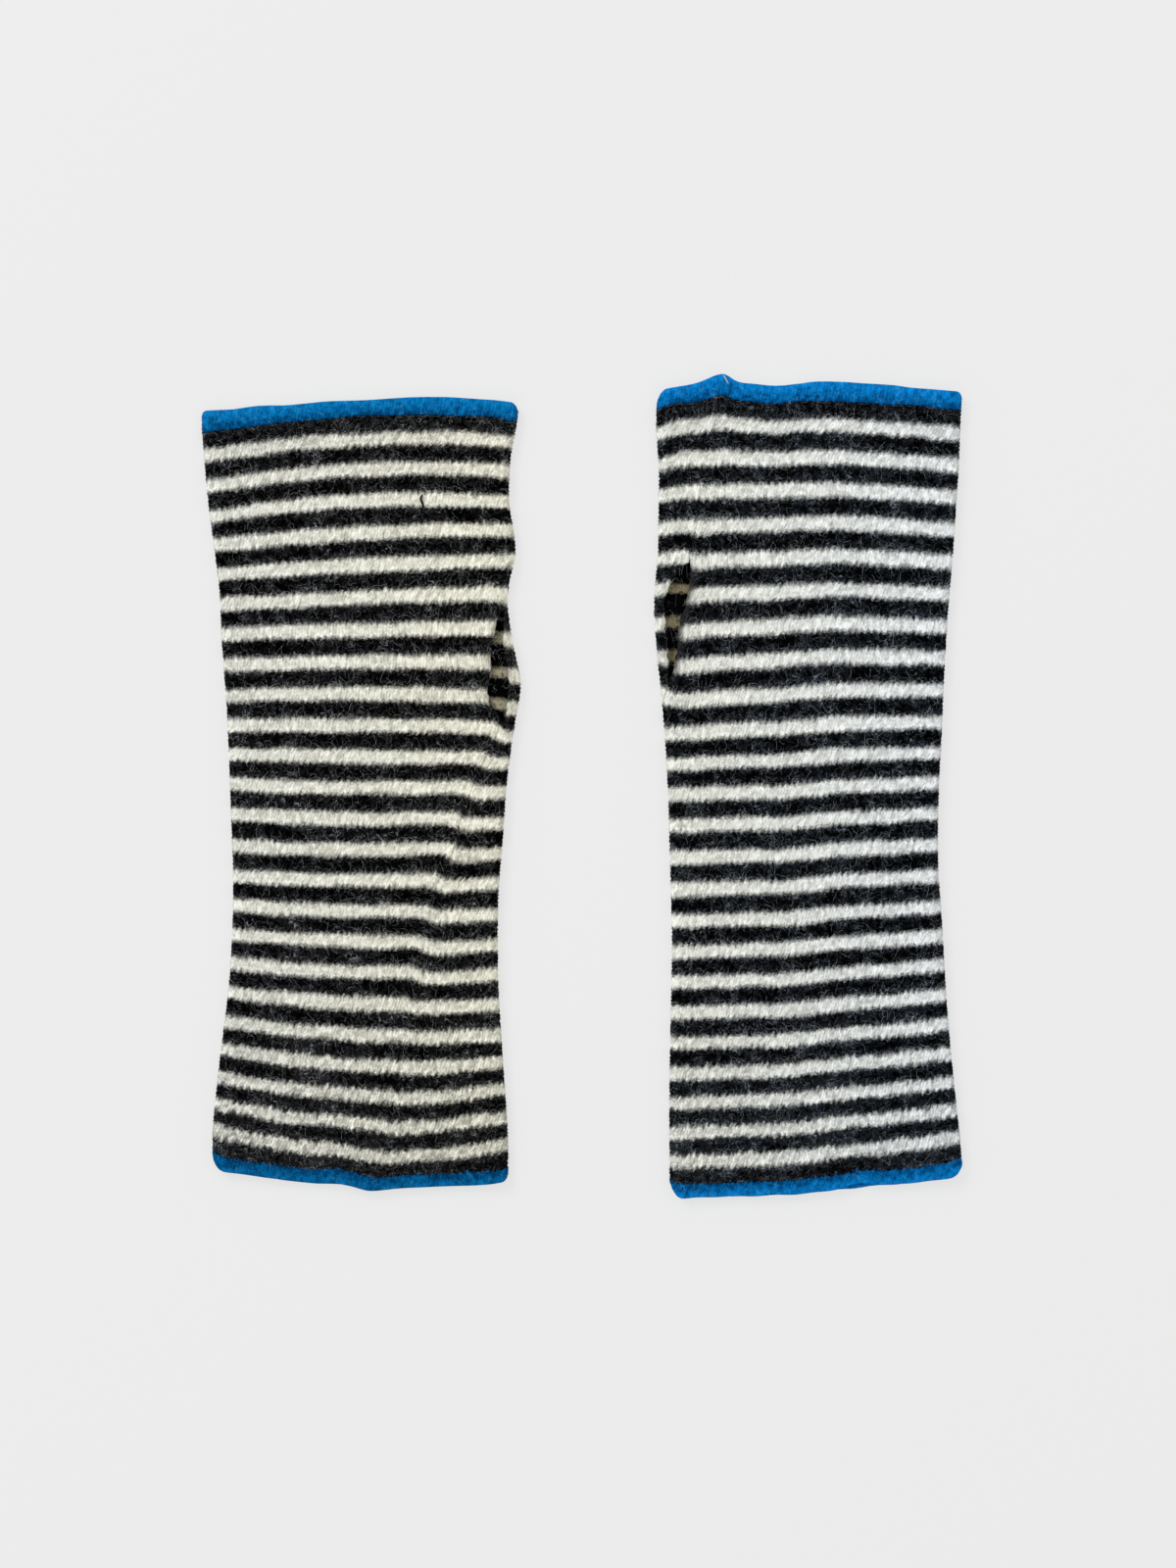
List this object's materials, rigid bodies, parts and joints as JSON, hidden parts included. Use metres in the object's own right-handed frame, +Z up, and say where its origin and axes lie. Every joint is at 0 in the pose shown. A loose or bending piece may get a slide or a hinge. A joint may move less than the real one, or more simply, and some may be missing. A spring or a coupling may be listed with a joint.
{
  "type": "pair of knitted arm warmers",
  "caption": "Fingerless striped wool arm warmers, each a flattened knitted tube with a slanting seam, an open thumb slit and contrast edging at both ends, lying flat.",
  "frame": {"origin": "under the middle of the pair, on the surface that both warmers lie on", "axes": "+X to the right across the pair, +Y from the wrist ends to the hand ends, +Z up off the surface"},
  "size_m": [0.2528, 0.2734, 0.0049],
  "materials": {
    "striped_wool": "fulled lambswool jersey, fuzzy, in level charcoal and cream stripes",
    "blue_edging": "bright blue wool edging, fine knit"
  },
  "bodies": {
    "root": {"left_front": "striped_wool", "left_back": "striped_wool", "left_wrist_band_front": "blue_edging", "left_wrist_band_back": "blue_edging", "left_hand_band_front": "blue_edging", "left_hand_band_back": "blue_edging", "right_front": "striped_wool", "right_back": "striped_wool", "right_wrist_band_front": "blue_edging", "right_wrist_band_back": "blue_edging", "right_hand_band_front": "blue_edging", "right_hand_band_back": "blue_edging"}
  },
  "joints": []
}
